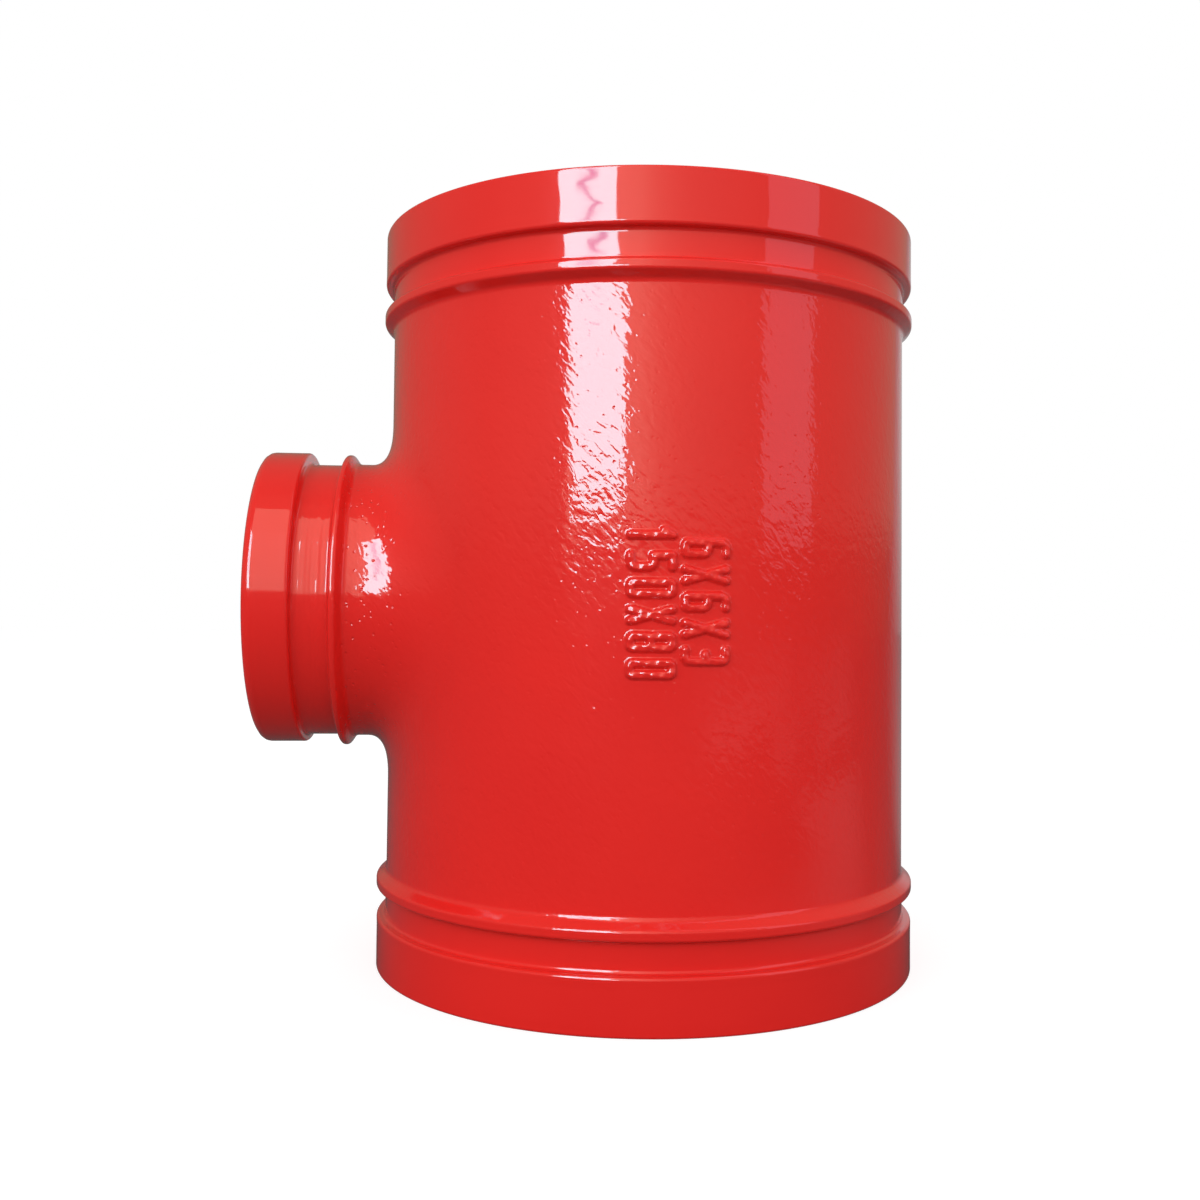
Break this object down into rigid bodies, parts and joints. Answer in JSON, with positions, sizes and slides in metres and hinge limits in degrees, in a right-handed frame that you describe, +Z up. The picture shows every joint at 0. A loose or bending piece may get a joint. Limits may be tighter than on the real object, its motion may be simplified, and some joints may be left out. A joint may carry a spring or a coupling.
{
  "type": "grooved reducing tee",
  "caption": "Cast pipe tee with a straight run and a smaller side branch. Every end has a land, a groove for a coupling and a stop bead. Painted gloss red, with raised size numbers.",
  "frame": {"origin": "where the axis of the run and the axis of the branch cross", "axes": "+Z up the run, -X out along the branch, -Y towards the raised numbers on the front"},
  "size_m": [0.2002, 0.1656, 0.2222],
  "materials": {
    "red_enamel": "gloss"
  },
  "bodies": {
    "root": {"tee_body": "red_enamel"}
  },
  "joints": []
}
